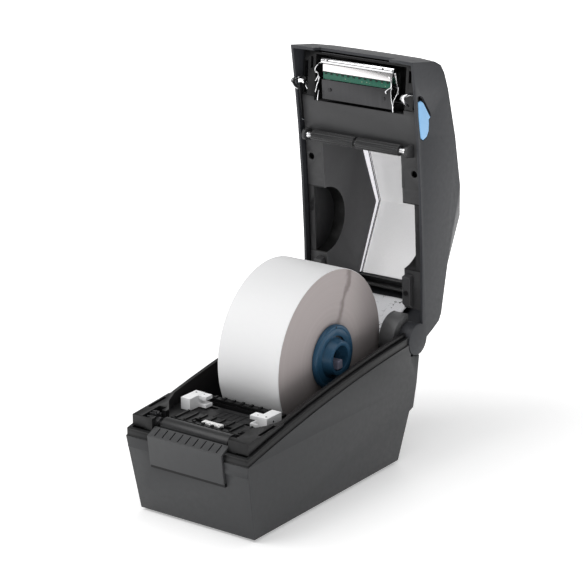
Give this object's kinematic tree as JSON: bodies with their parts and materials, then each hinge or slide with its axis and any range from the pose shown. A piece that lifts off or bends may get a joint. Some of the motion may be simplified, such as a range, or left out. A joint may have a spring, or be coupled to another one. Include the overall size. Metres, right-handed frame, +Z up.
{
  "type": "receipt printer",
  "caption": "Compact desktop thermal label and receipt printer with its lid open, a loaded paper roll on hub arms, platen, print head and release buttons.",
  "frame": {"origin": "centre of the box around the part at rest (lid open), on the plane its rubber feet stand on", "axes": "+X to the right seen from the front, +Y from the paper exit towards the hinge and the connectors, +Z up"},
  "size_m": [0.1086, 0.2994, 0.3074],
  "materials": {
    "case_grey": "fine spark texture, charcoal grey",
    "cover_grey": "fine spark texture, slightly lighter charcoal",
    "frame_black": "satin moulded black",
    "lining_grey": "satin moulded dark grey",
    "foot_rubber": "dull",
    "fitting_black": "satin",
    "plated_steel": "zinc plated, fine grain",
    "board_green": "lacquered board with tracks",
    "bush_nylon": "dark nylon",
    "gear_nylon": "natural nylon",
    "gear_brass": "machined",
    "hinge_grey": "satin moulded grey",
    "cable_white": "flat ribbon with parallel conductors",
    "window_clear": "clear moulded plastic, lightly smoked",
    "bright_chrome": "bright plated",
    "lamp_green": "translucent lamp cap",
    "button_blue": "satin light blue",
    "head_ceramic": "glazed light strip",
    "heat_sink_grey": "dark anodised",
    "roller_rubber": "ground rubber",
    "label_paper": "white coated paper, layered ends",
    "core_card": "wound card",
    "guide_white": "satin off-white",
    "hub_blue": "satin slate blue",
    "sensor_white": "satin off-white"
  },
  "bodies": {
    "base": {"base_shell": "case_grey", "bottom_cover": "frame_black", "foot_front_left": "foot_rubber", "foot_front_right": "foot_rubber", "foot_rear_left": "foot_rubber", "foot_rear_right": "foot_rubber", "inner_frame": "frame_black", "exit_cover": "cover_grey", "power_jack": "fitting_black", "usb_port": "plated_steel", "serial_port": "plated_steel", "main_board": "board_green", "platen_bush_left": "bush_nylon", "platen_bush_right": "bush_nylon", "gear_plate": "plated_steel", "stepper_motor": "plated_steel", "sensor_plate": "frame_black", "rear_paper_bar": "frame_black", "hinge_drum_left": "hinge_grey", "hinge_drum_right": "hinge_grey", "hinge_pin_left": "plated_steel", "hinge_pin_right": "plated_steel", "head_cable": "cable_white"},
    "lid": {"lid_shell": "case_grey", "lid_window": "window_clear", "lid_inner_frame": "lining_grey", "tear_bar": "bright_chrome", "status_led": "lamp_green", "head_spring_left": "bright_chrome", "head_spring_right": "bright_chrome"},
    "latch": {"latch_shaft": "heat_sink_grey", "latch_hook_left": "bright_chrome", "latch_hook_right": "bright_chrome"},
    "release_left": {"latch_button_left": "button_blue"},
    "release_right": {"latch_button_right": "button_blue"},
    "head": {"head_bracket": "bright_chrome", "head_ceramic": "head_ceramic", "head_board": "board_green", "head_heat_sink": "heat_sink_grey"},
    "lid_roller": {"lid_roller_shaft": "plated_steel", "roller_sleeve_left": "roller_rubber", "roller_sleeve_right": "roller_rubber"},
    "feed_key": {"feed_button": "button_blue"},
    "roll": {"label_roll": "label_paper", "roll_core": "core_card"},
    "platen": {"platen_roller": "roller_rubber", "platen_shaft": "plated_steel", "platen_gear": "bush_nylon"},
    "idler": {"idler_gear": "gear_nylon"},
    "motor_drive": {"motor_pinion": "gear_brass"},
    "guide_left": {"media_guide_left": "guide_white"},
    "guide_right": {"media_guide_right": "guide_white"},
    "guide_wheel": {"guide_pinion": "gear_nylon"},
    "arm_left": {"roll_arm_left": "hub_blue"},
    "arm_right": {"roll_arm_right": "hub_blue"},
    "arm_wheel": {"arm_pinion": "gear_nylon"},
    "sensor": {"gap_sensor": "sensor_white"},
    "rocker": {"power_rocker": "fitting_black"}
  },
  "joints": [
    {"name": "lid_hinge", "type": "hinge", "parent": "base", "child": "lid", "pos_m": [0, 0.0665, 0.0936], "axis": [1, 0, 0], "range_deg": [0, 93.6], "deforming": ["head_cable"]},
    {"name": "latch_turn", "type": "hinge", "parent": "lid", "child": "latch", "pos_m": [0, 0.07409, 0.27158], "axis": [1, 0, 0], "range_deg": [0, 8], "stiffness_Nm_per_rad": 0.06, "springref_deg": -20.05},
    {"name": "release_slide_right", "type": "slide", "parent": "lid", "child": "release_right", "axis": [0, -0.1887, 0.982], "range_m": [0, 0.0035]},
    {"name": "release_slide_left", "type": "slide", "parent": "lid", "child": "release_left", "axis": [0, -0.1887, 0.982], "range_m": [0, 0.0035]},
    {"name": "head_float", "type": "slide", "parent": "lid", "child": "head", "axis": [0, 0.998, -0.0628], "range_m": [0, 0.0015], "stiffness_N_per_m": 1500, "springref_m": -0.003, "deforming": ["head_spring_left", "head_spring_right"]},
    {"name": "lid_roller_spin", "type": "hinge", "parent": "lid", "child": "lid_roller", "pos_m": [0, 0.06149, 0.2385], "axis": [1, 0, 0], "continuous": true},
    {"name": "feed_press", "type": "slide", "parent": "lid", "child": "feed_key", "axis": [0, -0.9359, -0.3522], "range_m": [0, 0.0012], "stiffness_N_per_m": 600, "springref_m": -0.001},
    {"name": "roll_spin", "type": "hinge", "parent": "base", "child": "roll", "pos_m": [0, -0.0101, 0.097], "axis": [1, 0, 0], "continuous": true},
    {"name": "platen_spin", "type": "hinge", "parent": "base", "child": "platen", "pos_m": [0, -0.1326, 0.0685], "axis": [1, 0, 0], "continuous": true},
    {"name": "idler_spin", "type": "hinge", "parent": "base", "child": "idler", "pos_m": [0, -0.11992, 0.05303], "axis": [1, 0, 0], "continuous": true},
    {"name": "motor_spin", "type": "hinge", "parent": "base", "child": "motor_drive", "pos_m": [0, -0.10915, 0.03988], "axis": [1, 0, 0], "continuous": true},
    {"name": "guide_close_right", "type": "slide", "parent": "base", "child": "guide_right", "axis": [-1, 0, 0], "range_m": [-0.002, 0.014]},
    {"name": "guide_close_left", "type": "slide", "parent": "base", "child": "guide_left", "axis": [1, 0, 0], "range_m": [-0.002, 0.014]},
    {"name": "guide_wheel_turn", "type": "hinge", "parent": "base", "child": "guide_wheel", "pos_m": [0, -0.0951, 0.062], "axis": [0, 0, 1], "range_deg": [-201, 29]},
    {"name": "arm_open_right", "type": "slide", "parent": "base", "child": "arm_right", "axis": [1, 0, 0], "range_m": [0, 0.0075], "stiffness_N_per_m": 180, "springref_m": -0.02},
    {"name": "arm_open_left", "type": "slide", "parent": "base", "child": "arm_left", "axis": [-1, 0, 0], "range_m": [0, 0.0075]},
    {"name": "arm_wheel_turn", "type": "hinge", "parent": "base", "child": "arm_wheel", "pos_m": [0, -0.0101, 0.0235], "axis": [0, 0, 1], "range_deg": [0, 108]},
    {"name": "sensor_shift", "type": "slide", "parent": "base", "child": "sensor", "axis": [1, 0, 0], "range_m": [-0.0085, 0.008]},
    {"name": "power_switch", "type": "hinge", "parent": "base", "child": "rocker", "pos_m": [-0.035, 0.0619, 0.06], "axis": [1, 0, 0], "range_deg": [0, 12]}
  ],
  "couplings": [
    {"joint": "release_slide_right", "follows": "latch_turn", "m_per_rad": 0.025042},
    {"joint": "release_slide_left", "follows": "latch_turn", "m_per_rad": 0.025042},
    {"joint": "idler_spin", "follows": "platen_spin", "ratio": -0.66667},
    {"joint": "motor_spin", "follows": "platen_spin", "ratio": 1.6},
    {"joint": "guide_close_left", "follows": "guide_close_right", "ratio": 1},
    {"joint": "guide_wheel_turn", "follows": "guide_close_right", "rad_per_m": -250},
    {"joint": "arm_open_left", "follows": "arm_open_right", "ratio": 1},
    {"joint": "arm_wheel_turn", "follows": "arm_open_right", "rad_per_m": 250}
  ]
}
